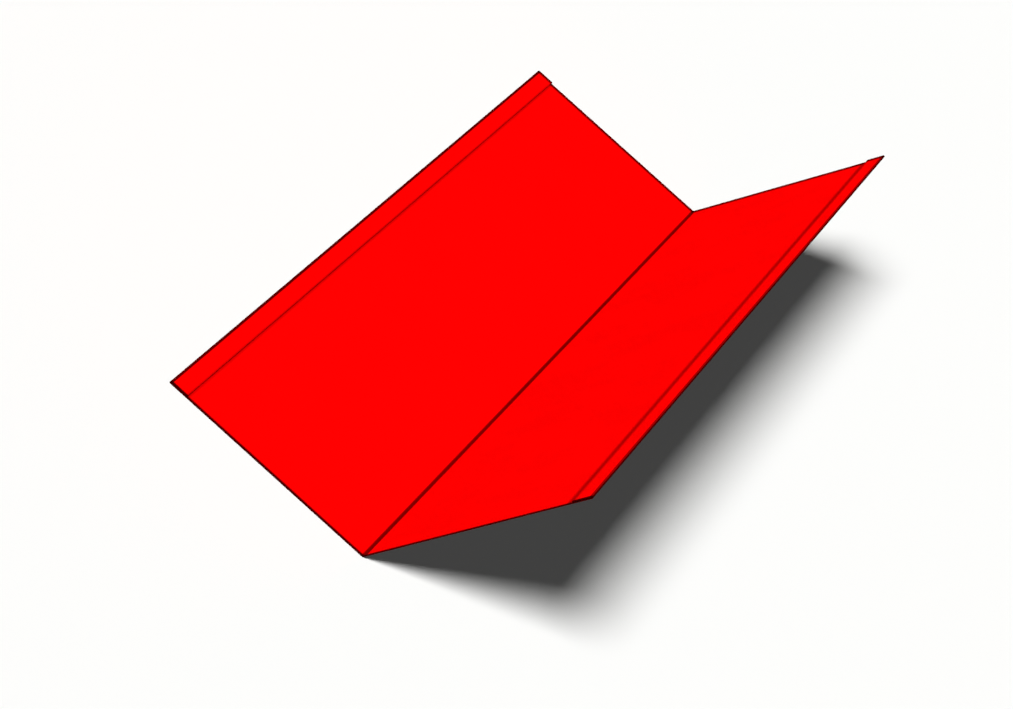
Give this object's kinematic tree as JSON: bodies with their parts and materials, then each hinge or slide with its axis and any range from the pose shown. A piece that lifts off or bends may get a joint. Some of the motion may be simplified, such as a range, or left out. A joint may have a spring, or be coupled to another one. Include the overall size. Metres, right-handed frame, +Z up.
{
  "type": "valley flashing",
  "caption": "V-shaped roof valley flashing folded from one painted steel sheet, its long edges hemmed back, that carries rainwater down the valley between two roof slopes.",
  "frame": {"origin": "on the floor under the middle of the part's box, as it lies unheld on its flat wing", "axes": "+Y along the fold and +Z up; the flat wing lies towards -X from the fold and the raised wing leans up towards +X, 60 degrees above the floor"},
  "size_m": [0.3446, 1, 0.1999],
  "materials": {
    "red_paint": "matt"
  },
  "bodies": {
    "root": {"valley_flashing": "red_paint"}
  },
  "joints": []
}
